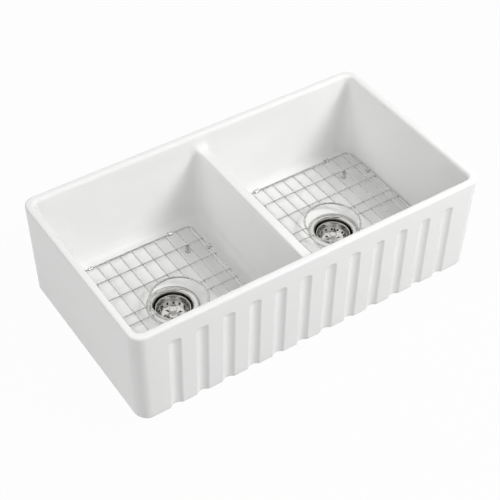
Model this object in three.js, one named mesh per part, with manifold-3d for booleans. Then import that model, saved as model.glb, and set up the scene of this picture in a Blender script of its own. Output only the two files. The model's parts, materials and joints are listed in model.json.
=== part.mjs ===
// Double-bowl farmhouse sink with a fluted apron front, a bottom grid in each bowl
// and a basket strainer in each drain. Millimetres, +X along the apron, the apron
// faces -Y, +Z up. The origin is the middle of the flat underside.

import * as THREE from 'three';
import { mergeVertices } from 'three/addons/utils/BufferGeometryUtils.js';
import Module from 'manifold-3d';

const wasm = await Module();
wasm.setup();

// ---------------------------------------------------------------- driving dimensions

// Glazed shell, outside
const shellLength = 838;
const shellDepth = 457;
const shellHeight = 238.5;
const shellCorner = 28; // plan radius of the four outer corners
const sideLean = 4.5; // each side and the back stand in this much at the base
const rimOuterRound = 5;
const baseRound = 9;
const apronBaseRound = 3.5;

// Bowls
const wallThickness = 18; // at the rim
const floorHeight = 25; // top of the bowl floors
const bowlCorner = 22; // plan radius of the bowl corners
const bowlLean = 5; // each bowl face comes in this much from rim to floor
const floorFillet = 19;
const innerRound = 8; // inner edge of the rim and both edges of the divider's top

// Divider between the bowls
const dividerDrop = 35; // its top lies this far below the rim
const dividerThickness = 22; // over its top, between the two rounded edges' starts
const dividerEndFillet = dividerDrop - innerRound; // where its top climbs into the walls

// Flutes in the apron
const fluteCount = 12;
const flutePitch = 60.3;
const fluteWidth = 26;
const fluteSink = 6; // depth of the groove
const fluteTopGap = 41; // plain band left under the rim
const fluteCrown = 9; // height of the rounded top end of each groove

// Drains
const drainX = 210; // from the middle of the sink to each drain
const drainY = -12;
const bodyDiameter = 87; // strainer body, over the thread that takes the locknut
const bodyPlay = 1.5; // between the body and the hole through the floor
const drainHoleDiameter = bodyDiameter + 2 * bodyPlay;
const drainDish = 150; // diameter of the shallow fall towards the drain
const drainFall = 1.5;
const flangeRecess = 2.5; // depth of the seat that lets the flange lie flush
const spotFaceDepth = 6; // recess under the floor for the gasket and nut

// Basket strainer body
const flangeLap = 11; // over the floor round the hole
const flangeDiameter = drainHoleDiameter + 2 * flangeLap;
const flangeEdge = 0.8;
const flangeCrown = 2.2;
const bodyWall = 2;
const throatDiameter = bodyDiameter - 2 * bodyWall;
const bodyDrop = 39; // threaded length below the flange
const tailDiameter = 47;
const tailInnerDiameter = 39;
const tailLength = 26;
const seatWidth = 60; // diameter at the top of the cone that the stopper closes on
const strainerBarWidth = 4;
const strainerBarDepth = 2.5;
const strainerEyeInnerDiameter = 12.4;
const strainerEyeWall = 2.4;
const strainerEyeDepth = 4;
const strainerEyeRise = 0.8; // above the bars

// Seals and nut
const sealThickness = 1.2;
const sealWidth = 8;
const gasketThickness = 3;
const gasketWidth = 14;
const frictionWasherThickness = 1.2;
const frictionWasherWidth = 13;
const locknutHeight = 12;
const locknutWidth = 15.5; // from the thread to the crest of a lug
const locknutDiameter = bodyDiameter + 2 * locknutWidth;
const locknutPlay = 5; // room round the nut in the recess under the floor
const spotFaceDiameter = locknutDiameter + 2 * locknutPlay;
const locknutLugs = 8;
const locknutLugDepth = 5;

// Basket, knob, stopper and tip
const basketPlay = 3; // between the basket's rim and the throat
const basketRimDiameter = throatDiameter - 2 * basketPlay;
const basketRimDrop = 7; // basket rim below the flange underside
const basketDepth = 22;
const basketFloorDiameter = 50;
const basketSheet = 1.1;
const basketRimRoll = 2.4; // height of the rolled rim
const basketHoleDiameter = 4.6;
const basketHoleCount = 14;
const basketFloorHoleCount = 7;
const basketFloorHoleCircle = 34;
const knobDiameter = 17;
const knobHeight = 20;
const knobHeadHeight = 5;
const knobWaist = 8;
const knobSkirt = 21;
const stemDiameter = 6;
const stopperDiameter = 53;
const stopperThickness = 4;
const stopperBevel = 2.4; // at 45 degrees, like the cone it closes on
const tipDiameter = 10.6;
const tipLength = 11;

// Bottom grid
const gridHeight = 19.5; // from the bowl floor to the middle of the frame rod
const gridInnerGap = 53; // from the divider to the middle of the frame rod
const gridOuterGap = 15.5; // from the outer wall to it
const gridSideGap = 29.7; // from the front and back walls to it
const gridCorner = 14;
const frameRod = 4.4;
const gridWire = 2.6;
const weldSink = 0.3; // how far crossing wires are pressed into each other
const ringDiameter = 125;
const ringLag = 5.8; // the ring's middle lies this much nearer to the divider than the drain's
const crossWirePitch = 28.3;
const crossWireFirst = 9; // from the frame on the divider side
const longWireFirst = 13.5; // each side of the ring's middle
const longWirePitch = 54.5; // between the two outer long wires on each side
const longWireEdge = 51.75; // from the front and back rods to the nearest long wire
const leftGridShift = [5.4, -7.4]; // how far the loose left grid lies off its place, in X and Y
const rightGridShift = [5.4, 5.9];

// Rubber feet and bumpers
const footDiameter = 13;
const footTopDiameter = 10;
const studDiameter = 4;
const studLength = 10;
const footGrip = 8.6; // depth of the stud's hole in the foot
const bumperDiameter = 11;
const bumperLength = 12;

// Clearances
const seatGap = 0.2; // between pieces that rest on or are clamped to each other
const slipGap = 0.3; // round a rod or thread that passes through a piece

// Facets
const cornerSteps = 5;
const roundSteps = 3;
const fluteSides = 20;
const turnedSides = 24;
const smallSides = 12;
const rubberSides = 8;
const rodSides = 6; // frame rods, studs and the basket's holes
const wireSides = 4; // thin wires, with an edge on top
const overrun = 2; // how far a cutter runs past the face it opens
const edgeOverlap = 0.1; // how far a rounded edge is carried past the face it blends into

// ---------------------------------------------------------------- finishes

const glaze = { color: 0xf4f4f2, roughness: 0.12, metalness: 0 };
const polishedSteel = { color: 0xc9c9c6, roughness: 0.18, metalness: 1 };
const brightWire = { color: 0xb9bab8, roughness: 0.22, metalness: 1 };
const siliconeGrey = { color: 0x8b8f8d, roughness: 0.55, metalness: 0 };
const blackRubber = { color: 0x1f2020, roughness: 0.75, metalness: 0 };
const fibreBoard = { color: 0xa08c6a, roughness: 0.9, metalness: 0 };
const castNut = { color: 0x9d9c98, roughness: 0.4, metalness: 1 };
const putty = { color: 0xd9d6cc, roughness: 0.8, metalness: 0 };

// ---------------------------------------------------------------- solids and booleans

// Merges shared corners and drops the slivers that a revolved profile leaves on its axis.
function weld(geometry) {
  const bare = geometry.clone();
  bare.deleteAttribute('normal');
  bare.deleteAttribute('uv');
  const merged = mergeVertices(bare, 1e-4);
  const corners = merged.index.array;
  const kept = [];
  for (let i = 0; i < corners.length; i += 3) {
    const [a, b, c] = [corners[i], corners[i + 1], corners[i + 2]];
    if (a !== b && b !== c && c !== a) kept.push(a, b, c);
  }
  merged.setIndex(kept);
  return merged;
}

function solidOf(geometry) {
  const welded = weld(geometry);
  const vertProperties = new Float32Array(welded.attributes.position.array);
  const triVerts = new Uint32Array(welded.index.array);
  return new wasm.Manifold(new wasm.Mesh({ numProp: 3, vertProperties, triVerts }));
}

function geometryOf(solid) {
  const mesh = solid.getMesh();
  const geometry = new THREE.BufferGeometry();
  geometry.setAttribute('position', new THREE.BufferAttribute(new Float32Array(mesh.vertProperties), 3));
  geometry.setIndex(new THREE.BufferAttribute(new Uint32Array(mesh.triVerts), 1));
  geometry.computeVertexNormals();
  return geometry;
}

function joined(solids) {
  return solids.reduce((whole, next) => whole.add(next));
}

// Turns a profile of [radius, height] pairs, listed outside face upwards, about Z.
function turned(profile, sides = turnedSides) {
  const points = profile.map(([radius, height]) => new THREE.Vector2(radius, height));
  return new THREE.LatheGeometry(points, sides).rotateX(Math.PI / 2);
}

// A turned ring: the profile closes on itself instead of on the axis.
function turnedRing(profile, sides = turnedSides) {
  return turned([...profile, profile[0]], sides);
}

// Radius at which a faceted bore clears a round bar of the given diameter.
function boreRadius(diameter, clearance, sides) {
  return (diameter / 2 + clearance) / Math.cos(Math.PI / sides);
}

// Skins a row of equal outlines. Each outline runs counter-clockwise seen from ahead.
// With loop set the last outline joins the first; otherwise both ends are capped, and
// flat maps a corner to the two coordinates of the plane that an end lies in.
function loft(outlines, { loop = false, flat = (p) => [p.x, p.y] } = {}) {
  const count = outlines[0].length;
  const positions = outlines.flat().flatMap((p) => [p.x, p.y, p.z]);
  const corners = [];
  const spans = loop ? outlines.length : outlines.length - 1;
  for (let i = 0; i < spans; i += 1) {
    const here = i * count;
    const ahead = ((i + 1) % outlines.length) * count;
    for (let j = 0; j < count; j += 1) {
      const next = (j + 1) % count;
      corners.push(here + j, here + next, ahead + next);
      corners.push(here + j, ahead + next, ahead + j);
    }
  }
  if (!loop) {
    const last = (outlines.length - 1) * count;
    const cap = (outline) => THREE.ShapeUtils.triangulateShape(
      outline.map((p) => new THREE.Vector2(...flat(p))), []);
    for (const [a, b, c] of cap(outlines[0])) corners.push(a, c, b);
    for (const [a, b, c] of cap(outlines.at(-1))) corners.push(last + a, last + b, last + c);
  }
  const geometry = new THREE.BufferGeometry();
  geometry.setAttribute('position', new THREE.Float32BufferAttribute(positions, 3));
  geometry.setIndex(corners);
  return geometry;
}

// Rounded rectangle at one height, counter-clockwise seen from above.
function roundedOutline({ x0, x1, y0, y1, radius, z }) {
  const centres = [
    [x1 - radius, y0 + radius],
    [x1 - radius, y1 - radius],
    [x0 + radius, y1 - radius],
    [x0 + radius, y0 + radius],
  ];
  return centres.flatMap(([cx, cy], corner) => Array.from({ length: cornerSteps + 1 }, (_, k) => {
    const angle = (Math.PI / 2) * (corner - 1 + k / cornerSteps);
    return new THREE.Vector3(cx + radius * Math.cos(angle), cy + radius * Math.sin(angle), z);
  }));
}

// Angles of a quarter round, from 0 to 90 degrees.
function quarter(steps = roundSteps) {
  return Array.from({ length: steps + 1 }, (_, k) => (Math.PI / 2) * (k / steps));
}

// ---------------------------------------------------------------- glazed shell

const dividerTop = shellHeight - dividerDrop;
const bowlSlope = bowlLean / (shellHeight - floorHeight);

// The faces of the right bowl at a height: half the clear depth between its front and
// back walls, and the distance from the sink's middle of its outer and its inner wall.
function bowlHalfDepth(z) {
  return shellDepth / 2 - wallThickness - bowlSlope * (shellHeight - z);
}

function bowlOuterWall(z) {
  return shellLength / 2 - wallThickness - bowlSlope * (shellHeight - z);
}

function bowlInnerWall(z) {
  return dividerThickness / 2 + bowlSlope * (dividerTop - z);
}

// Outer body: a stack of rounded rectangles with a rounded base and rim.
function shellBlank() {
  const outline = (z, sideInset, frontInset) => {
    const lean = sideLean * (1 - z / shellHeight);
    const halfLength = shellLength / 2 - lean - sideInset;
    return roundedOutline({
      x0: -halfLength,
      x1: halfLength,
      y0: -shellDepth / 2 + frontInset,
      y1: shellDepth / 2 - lean - sideInset,
      radius: shellCorner - sideInset,
      z,
    });
  };
  const base = quarter().map((t) => outline(
    baseRound * (1 - Math.cos(t)),
    baseRound * (1 - Math.sin(t)),
    apronBaseRound * (1 - Math.sin(t)),
  ));
  const rim = quarter().map((t) => {
    const inset = rimOuterRound * (1 - Math.cos(t));
    return outline(shellHeight - rimOuterRound * (1 - Math.sin(t)), inset, inset);
  });
  return solidOf(loft([...base, ...rim]));
}

// Height of the divider's top at a distance from the middle: level, then up a fillet
// into the front or back wall, and over the rounded edge of the rim.
function saddleHeight(y) {
  const filletStart = bowlHalfDepth(dividerTop + dividerEndFillet) - dividerEndFillet;
  const climb = Math.abs(y) - filletStart;
  if (climb <= 0) return dividerTop;
  if (climb < dividerEndFillet) {
    return dividerTop + dividerEndFillet - Math.sqrt(dividerEndFillet ** 2 - climb ** 2);
  }
  const left = Math.max(0, bowlHalfDepth(shellHeight) + innerRound - Math.abs(y));
  return shellHeight - innerRound + Math.sqrt(Math.max(0, innerRound ** 2 - left ** 2));
}

// One bowl, as the space it leaves: filleted floor, leaning walls, and a rounded edge
// that follows the rim and, on the divider's side, dips to the divider's top.
function bowlSpace(side) {
  const outline = (z, inset) => {
    const outer = bowlOuterWall(z) - inset;
    const inner = bowlInnerWall(z) + inset;
    const halfDepth = bowlHalfDepth(z) - inset;
    return roundedOutline({
      x0: side < 0 ? -outer : inner,
      x1: side < 0 ? -inner : outer,
      y0: -halfDepth,
      y1: halfDepth,
      radius: bowlCorner - inset,
      z,
    });
  };
  const floor = quarter().map((t) => outline(
    floorHeight + floorFillet * (1 - Math.cos(t)),
    floorFillet * (1 - Math.sin(t)),
  ));
  const lip = outline(shellHeight, -innerRound);
  const middle = side * (shellLength / 4 + dividerThickness / 4);
  const heights = lip.map(({ x, y }) => (
    Math.abs(x) < Math.abs(middle) ? Math.min(shellHeight, saddleHeight(y) + edgeOverlap) : shellHeight));
  const edge = quarter().map((t) => lip.map((_, k) => {
    const z = heights[k] - innerRound * (1 - Math.sin(t));
    return outline(z, -innerRound * (1 - Math.cos(t)))[k];
  }));
  const above = edge.at(-1).map((p) => p.clone().setZ(shellHeight + overrun));
  return solidOf(loft([...floor, ...edge, above]));
}

// The space over the divider, as one section across the sink run along X.
function dividerSaddle() {
  const wall = bowlHalfDepth(dividerTop + dividerEndFillet);
  const reach = dividerThickness / 2 + bowlCorner + overrun;
  const half = [
    ...quarter().map((t) => wall - dividerEndFillet * (1 - Math.sin(t))),
    ...quarter().map((t) => bowlHalfDepth(shellHeight) + innerRound * (1 - Math.cos(t))),
  ].map((y) => [y, saddleHeight(y)]);
  half.push([bowlHalfDepth(shellHeight) + innerRound, shellHeight + overrun]);
  const section = [...half, ...half.map(([y, z]) => [-y, z]).reverse()];
  const windows = [-reach, reach].map((x) => section.map(([y, z]) => new THREE.Vector3(x, y, z)));
  return solidOf(loft(windows, { flat: (p) => [p.y, p.z] }));
}

// One flute: a round bar laid upright against the apron, with a low domed top.
function fluteCutter(x) {
  const half = fluteWidth / 2;
  const barRadius = (half * half + fluteSink * fluteSink) / (2 * fluteSink);
  const shoulder = shellHeight - fluteTopGap - fluteCrown;
  const dome = quarter(2).map((t) => [
    barRadius * Math.cos(t),
    shoulder + fluteCrown * Math.sin(t),
  ]);
  const bar = turned([[0, -overrun], [barRadius, -overrun], ...dome], fluteSides);
  bar.translate(x, -shellDepth / 2 + fluteSink - barRadius, 0);
  return solidOf(bar);
}

// Everything that is bored round one drain: fall, flange seat, hole and spot face.
const flangeSeatZ = floorHeight - drainFall - flangeRecess;

function drainCutter(side) {
  const recessRadius = boreRadius(flangeDiameter, 1, turnedSides);
  const profile = [
    [0, -overrun],
    [spotFaceDiameter / 2, -overrun],
    [spotFaceDiameter / 2, spotFaceDepth],
    [drainHoleDiameter / 2, spotFaceDepth],
    [drainHoleDiameter / 2, flangeSeatZ],
    [recessRadius, flangeSeatZ],
    [recessRadius, floorHeight - drainFall],
    [drainDish / 2, floorHeight],
    [drainDish / 2, floorHeight + overrun],
    [0, floorHeight + overrun],
  ];
  return solidOf(turned(profile).translate(side * drainX, drainY, 0));
}

function sinkShell() {
  const space = joined([bowlSpace(-1), bowlSpace(1), dividerSaddle()]);
  let shell = shellBlank().subtract(space);
  for (let k = 0; k < fluteCount; k += 1) {
    shell = shell.subtract(fluteCutter((k - (fluteCount - 1) / 2) * flutePitch));
  }
  shell = shell.subtract(drainCutter(-1)).subtract(drainCutter(1));
  return geometryOf(shell);
}

// ---------------------------------------------------------------- basket strainer
// Every height below counts from the underside of the flange.

const flangeUndersideZ = flangeSeatZ + sealThickness + 2 * seatGap;
const spotFaceLocal = spotFaceDepth - flangeUndersideZ;
const gasketTop = spotFaceLocal - seatGap;
const frictionTop = gasketTop - gasketThickness - seatGap;
const locknutTop = frictionTop - frictionWasherThickness - seatGap;
const tailEnd = -bodyDrop - tailLength;

// Stack that lifts out: basket, stopper under its floor, tip on the end of the stem.
const basketRimTop = -basketRimDrop;
const basketFloorTop = basketRimTop - basketDepth;
const stopperTop = basketFloorTop - basketSheet - seatGap;
const stopperFoot = stopperTop - stopperThickness;
const tipTop = stopperFoot - seatGap;
const stemEnd = tipTop - tipLength + 2;

// The cone under the stopper: it takes the bevel with the seat's gap, square to both.
const bevelReach = stopperDiameter / 2 - stopperBevel;
const seatLedge = stopperFoot + seatWidth / 2 - bevelReach - seatGap * Math.SQRT2;
const seatFoot = seatLedge - (seatWidth - tailInnerDiameter) / 2;
const bodyBore = boreRadius(bodyDiameter, slipGap, turnedSides);

function strainerBody() {
  const flangeRadius = flangeDiameter / 2;
  const throat = throatDiameter / 2;
  const cup = turnedRing([
    [tailInnerDiameter / 2, tailEnd],
    [tailDiameter / 2, tailEnd],
    [tailDiameter / 2, seatFoot - 4],
    [bodyDiameter / 2 - 8, -bodyDrop - 2],
    [bodyDiameter / 2, -bodyDrop + 5],
    [bodyDiameter / 2, 0],
    [flangeRadius, 0],
    [flangeRadius, flangeEdge],
    [flangeRadius - 4, flangeCrown],
    [throat + 3.2, flangeCrown],
    [throat, -2],
    [throat - 1, seatLedge + 8],
    [throat - 4, seatLedge + 2],
    [throat - 7, seatLedge],
    [seatWidth / 2, seatLedge],
    [tailInnerDiameter / 2, seatFoot],
  ]);
  const disc = (radius, top, depth) => solidOf(turned(
    [[0, top - depth], [radius, top - depth], [radius, top], [0, top]], smallSides));
  const arm = (angle) => solidOf(new THREE.BoxGeometry(tailInnerDiameter + 2, strainerBarWidth, strainerBarDepth)
    .translate(0, 0, seatFoot - strainerBarDepth / 2)
    .rotateZ(angle));
  const eye = disc(strainerEyeInnerDiameter / 2 + strainerEyeWall, seatFoot + strainerEyeRise, strainerEyeDepth);
  const eyeHole = disc(strainerEyeInnerDiameter / 2, seatFoot + overrun, strainerEyeDepth + 2 * overrun);
  const grate = joined([arm(0), arm(Math.PI / 2), eye]).subtract(eyeHole);
  return geometryOf(solidOf(cup).add(grate));
}

// Flat ring with its top face at a height.
function flatRing(top, thickness, inner, outer) {
  return turnedRing([
    [inner, top - thickness],
    [outer, top - thickness],
    [outer, top],
    [inner, top],
  ]);
}

function flangeSeal() {
  const outer = drainHoleDiameter / 2 + sealWidth;
  return flatRing(-seatGap, sealThickness, drainHoleDiameter / 2, outer);
}

function underGasket() {
  return flatRing(gasketTop, gasketThickness, bodyBore, bodyBore + gasketWidth);
}

function frictionWasher() {
  const outer = bodyBore + frictionWasherWidth;
  return flatRing(frictionTop, frictionWasherThickness, bodyBore, outer);
}

function locknut() {
  const crest = locknutDiameter / 2;
  const root = crest - locknutLugDepth;
  const lugAngle = (2 * Math.PI) / locknutLugs;
  const outline = Array.from({ length: locknutLugs }, (_, k) => k * lugAngle).flatMap((start) => [
    [root, 0],
    [root, 0.3],
    [root, 0.56],
    [crest, 0.64],
    [crest, 0.92],
  ].map(([radius, share]) => new THREE.Vector2(
    radius * Math.cos(start + share * lugAngle),
    radius * Math.sin(start + share * lugAngle),
  )));
  const shape = new THREE.Shape(outline);
  const bore = Array.from({ length: turnedSides }, (_, k) => (2 * Math.PI * k) / turnedSides)
    .map((angle) => new THREE.Vector2(bodyBore * Math.cos(angle), bodyBore * Math.sin(angle)));
  shape.holes.push(new THREE.Path(bore));
  const nut = new THREE.ExtrudeGeometry(shape, { depth: locknutHeight, bevelEnabled: false });
  return nut.translate(0, 0, locknutTop - locknutHeight);
}

// Basket: a rolled rim, a sloping wall and a flat floor, pierced for the water.
function basket() {
  const rim = basketRimDiameter / 2;
  const floor = basketFloorDiameter / 2;
  const stemBore = boreRadius(stemDiameter, slipGap, 2 * basketHoleCount);
  const inside = [
    [stemBore, basketFloorTop],
    [floor, basketFloorTop],
    [rim - 5, basketFloorTop + basketDepth * 0.45],
    [rim - 2.4, basketRimTop - 0.6],
  ];
  const outside = [
    [stemBore, basketFloorTop - basketSheet],
    [floor + basketSheet * 0.4, basketFloorTop - basketSheet],
    [rim - 5 + basketSheet, basketFloorTop + basketDepth * 0.45 - basketSheet * 0.4],
    [rim - 1.2, basketRimTop - basketRimRoll],
    [rim, basketRimTop - basketRimRoll / 2],
    [rim - 1.2, basketRimTop],
  ];
  const sides = 2 * basketHoleCount;
  let shape = solidOf(turnedRing([...outside, ...inside.reverse()], sides));
  const hole = (radius, angle, low, high) => solidOf(new THREE.CylinderGeometry(
    basketHoleDiameter / 2, basketHoleDiameter / 2, high - low, rodSides)
    .rotateX(Math.PI / 2)
    .translate(radius, 0, (low + high) / 2)
    .rotateZ(angle));
  for (let k = 0; k < basketHoleCount; k += 1) {
    const angle = (2 * Math.PI * (2 * k + 0.5)) / sides;
    const radius = (floor + rim - 5) / 2;
    shape = shape.subtract(hole(radius, angle, basketFloorTop - 3, basketRimTop - 3));
  }
  for (let k = 0; k < basketFloorHoleCount; k += 1) {
    const angle = (2 * Math.PI * k) / basketFloorHoleCount;
    shape = shape.subtract(hole(basketFloorHoleCircle / 2, angle,
      basketFloorTop - basketSheet - 1, basketFloorTop + 1));
  }
  return geometryOf(shape);
}

// Knob on the basket floor, with the stem that holds the stopper and ends in the tip.
function knobAndStem() {
  const foot = basketFloorTop + seatGap;
  const top = foot + knobHeight;
  const head = knobDiameter / 2;
  return turned([
    [0, stemEnd],
    [stemDiameter / 2, stemEnd],
    [stemDiameter / 2, foot],
    [knobSkirt / 2, foot],
    [knobSkirt / 2, foot + 1.4],
    [knobWaist / 2 + 1.6, foot + 3.6],
    [knobWaist / 2, foot + 7],
    [knobWaist / 2, top - knobHeadHeight - 1.5],
    [head - 1, top - knobHeadHeight],
    [head, top - knobHeadHeight + 1.2],
    [head, top - 1.4],
    [head - 1.8, top],
    [0, top + 0.4],
  ], smallSides);
}

// The stopper's lower edge is bevelled to the seat cone of the body.
function stopper() {
  const outer = stopperDiameter / 2;
  const stemBore = boreRadius(stemDiameter, slipGap, smallSides);
  return turnedRing([
    [stemBore, stopperFoot],
    [bevelReach, stopperFoot],
    [outer, stopperFoot + stopperBevel],
    [outer, stopperTop],
    [stemBore, stopperTop],
  ]);
}

function stemTip() {
  const outer = tipDiameter / 2;
  const foot = tipTop - tipLength;
  const stemBore = boreRadius(stemDiameter, slipGap, smallSides);
  return turned([
    [0, foot],
    [outer - 2.2, foot],
    [outer, foot + 3],
    [outer, tipTop],
    [stemBore, tipTop],
    [stemBore, stemEnd - seatGap],
    [0, stemEnd - seatGap],
  ], smallSides);
}

// ---------------------------------------------------------------- bottom grid
// Heights count from the middle of the frame rod. Along the grid, u runs from the
// frame on the divider side (0) to the frame on the outer side (gridLength).

const gridZ = floorHeight + gridHeight;
const gridInnerEnd = bowlInnerWall(gridZ) + gridInnerGap;
const gridLength = bowlOuterWall(gridZ) - gridOuterGap - gridInnerEnd;
const gridDepth = 2 * (bowlHalfDepth(gridZ) - gridSideGap);
const outerRow = gridDepth / 2 - longWireEdge;
const longWireRows = [longWireFirst, outerRow - longWirePitch, outerRow];
const ringX = drainX - ringLag;
const ringSetback = ringX - gridInnerEnd;
const longWireZ = frameRod / 2 + gridWire / 2 - weldSink;
const crossWireZ = longWireZ - gridWire + weldSink;
const crossWireCount = Math.floor((gridLength - crossWireFirst - 2 * gridWire) / crossWirePitch) + 1;
const crossWires = Array.from({ length: crossWireCount }, (_, k) => crossWireFirst + k * crossWirePitch);
const footColumns = [crossWires[1], crossWires.at(-2)];
const bumperRow = outerRow - longWirePitch / 2;
const bumperColumns = [
  (crossWires[1] + crossWires[2]) / 2,
  (crossWires.at(-2) + crossWires.at(-3)) / 2,
];

// A straight wire of the grid, along Y or along X.
function wireAlongY(x, y0, y1, z) {
  return solidOf(new THREE.CylinderGeometry(gridWire / 2, gridWire / 2, y1 - y0, wireSides)
    .translate(x, (y0 + y1) / 2, z));
}

function wireAlongX(x0, x1, y, z) {
  return solidOf(new THREE.CylinderGeometry(gridWire / 2, gridWire / 2, x1 - x0, wireSides)
    .rotateZ(-Math.PI / 2)
    .translate((x0 + x1) / 2, y, z));
}

// Frame rod bent along a flat path, counter-clockwise from above, and welded end to end.
function bentRod(path) {
  const up = new THREE.Vector3(0, 0, 1);
  const outlines = path.map((point, k) => {
    const before = path[(k + path.length - 1) % path.length];
    const after = path[(k + 1) % path.length];
    const along = after.clone().sub(before).normalize();
    const out = along.clone().cross(up);
    const stretch = 1 / Math.cos(after.clone().sub(point).angleTo(point.clone().sub(before)) / 2);
    return Array.from({ length: rodSides }, (_, j) => {
      const angle = Math.PI / 2 - (2 * Math.PI * j) / rodSides;
      return point.clone()
        .addScaledVector(out, (frameRod / 2) * Math.cos(angle) * stretch)
        .addScaledVector(up, (frameRod / 2) * Math.sin(angle));
    });
  });
  return loft(outlines, { loop: true });
}

// Welded grid round a ring that leaves the drain open. The ring's middle is the origin,
// and inward is +1 where the divider lies towards +X.
function gridWires(inward) {
  const xOf = (u) => inward * (ringSetback - u);
  const span = (uA, uB) => [Math.min(xOf(uA), xOf(uB)), Math.max(xOf(uA), xOf(uB))];
  const half = gridDepth / 2;
  const ringRadius = ringDiameter / 2;
  const [frameX0, frameX1] = span(0, gridLength);
  const frame = roundedOutline({ x0: frameX0, x1: frameX1, y0: -half, y1: half, radius: gridCorner, z: 0 });
  const ring = Array.from({ length: turnedSides }, (_, k) => (2 * Math.PI * k) / turnedSides)
    .map((angle) => new THREE.Vector3(ringRadius * Math.cos(angle), ringRadius * Math.sin(angle), 0));
  const pieces = [solidOf(bentRod(frame)), solidOf(bentRod(ring))];
  for (const u of crossWires) {
    const x = xOf(u);
    const inRing = Math.abs(x) < ringRadius;
    const stop = inRing ? Math.sqrt(ringRadius * ringRadius - x * x) : 0;
    if (inRing) {
      pieces.push(wireAlongY(x, stop, half, crossWireZ));
      pieces.push(wireAlongY(x, -half, -stop, crossWireZ));
    } else {
      pieces.push(wireAlongY(x, -half, half, crossWireZ));
    }
  }
  const lap = frameRod / 2 - weldSink;
  const [x0, x1] = span(-lap, gridLength + lap);
  for (const y of longWireRows.flatMap((row) => [row, -row])) {
    if (Math.abs(y) < ringRadius) {
      const stop = Math.sqrt(ringRadius * ringRadius - y * y);
      pieces.push(wireAlongX(x0, -stop, y, longWireZ));
      pieces.push(wireAlongX(stop, x1, y, longWireZ));
    } else {
      pieces.push(wireAlongX(x0, x1, y, longWireZ));
    }
  }
  for (const u of footColumns) {
    for (const y of [outerRow, -outerRow]) {
      const stud = new THREE.CylinderGeometry(studDiameter / 2, studDiameter / 2, studLength, rodSides)
        .rotateX(Math.PI / 2)
        .translate(xOf(u), y, crossWireZ - studLength / 2);
      pieces.push(solidOf(stud));
    }
  }
  return geometryOf(joined(pieces));
}

// Rubber foot: a tapered plug with a blind hole pushed over a stud of the grid.
const studEnd = crossWireZ - studLength;

function rubberFoot() {
  const bore = boreRadius(studDiameter, slipGap, rubberSides);
  const boreFloor = studEnd - seatGap;
  const sole = -gridHeight + seatGap;
  const top = boreFloor + footGrip;
  return turned([
    [0, sole],
    [footDiameter / 2 - 1, sole],
    [footDiameter / 2, sole + 1.5],
    [footTopDiameter / 2, top],
    [bore, top],
    [bore, boreFloor],
    [0, boreFloor],
  ], rubberSides);
}

// Rubber sleeve round the frame rod that meets the bowl wall first.
function bumper() {
  const bore = boreRadius(frameRod, slipGap, rubberSides);
  const outer = bumperDiameter / 2;
  const half = bumperLength / 2;
  return turnedRing([
    [bore, -half],
    [outer - 1, -half],
    [outer, -half + 1.5],
    [outer, half - 1.5],
    [outer - 1, half],
    [bore, half],
  ], rubberSides);
}

// ---------------------------------------------------------------- assembly

const group = new THREE.Group();

function place(parent, name, geometry, finish, x = 0, y = 0, z = 0) {
  const mesh = new THREE.Mesh(weld(geometry), new THREE.MeshStandardMaterial(finish));
  mesh.name = name;
  mesh.position.set(x, y, z);
  parent.add(mesh);
  return mesh;
}

place(group, 'sink_body', sinkShell(), glaze);

const strainerPieces = [
  ['strainer_body', strainerBody(), polishedSteel],
  ['flange_seal', flangeSeal(), putty],
  ['drain_gasket', underGasket(), blackRubber],
  ['friction_washer', frictionWasher(), fibreBoard],
  ['locknut', locknut(), castNut],
  ['basket', basket(), polishedSteel],
  ['basket_knob', knobAndStem(), polishedSteel],
  ['stopper', stopper(), blackRubber],
  ['stem_tip', stemTip(), castNut],
];

function addStrainer(sideName, side) {
  const strainer = new THREE.Group();
  strainer.position.set(side * drainX, drainY, flangeUndersideZ);
  for (const [name, geometry, finish] of strainerPieces) {
    place(strainer, `${sideName}_${name}`, geometry, finish);
  }
  group.add(strainer);
}

function addGrid(sideName, side, [shiftX, shiftY]) {
  const inward = -side;
  const grid = new THREE.Group();
  grid.position.set(side * ringX + shiftX, drainY + shiftY, gridZ);
  place(grid, `${sideName}_grid`, gridWires(inward), brightWire);
  const ends = ['inner', 'outer'];
  const sides = [['front', -1], ['back', 1]];
  footColumns.forEach((u, end) => {
    for (const [sideWord, sign] of sides) {
      place(grid, `${sideName}_foot_${ends[end]}_${sideWord}`, rubberFoot(), siliconeGrey,
        inward * (ringSetback - u), sign * outerRow);
    }
  });
  [0, gridLength].forEach((u, end) => {
    for (const [sideWord, sign] of sides) {
      const sleeve = place(grid, `${sideName}_bumper_${ends[end]}_side_${sideWord}`, bumper(), siliconeGrey,
        inward * (ringSetback - u), sign * bumperRow);
      sleeve.rotation.x = Math.PI / 2;
    }
  });
  bumperColumns.forEach((u, end) => {
    for (const [sideWord, sign] of sides) {
      const sleeve = place(grid, `${sideName}_bumper_${sideWord}_side_${ends[end]}`, bumper(), siliconeGrey,
        inward * (ringSetback - u), sign * (gridDepth / 2));
      sleeve.rotation.y = Math.PI / 2;
    }
  });
  group.add(grid);
}

addStrainer('left', -1);
addStrainer('right', 1);
addGrid('left', -1, leftGridShift);
addGrid('right', 1, rightGridShift);

export default group;
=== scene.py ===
import json
import math

import bmesh
import bpy
import numpy as np
from mathutils import Matrix, Vector

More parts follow.
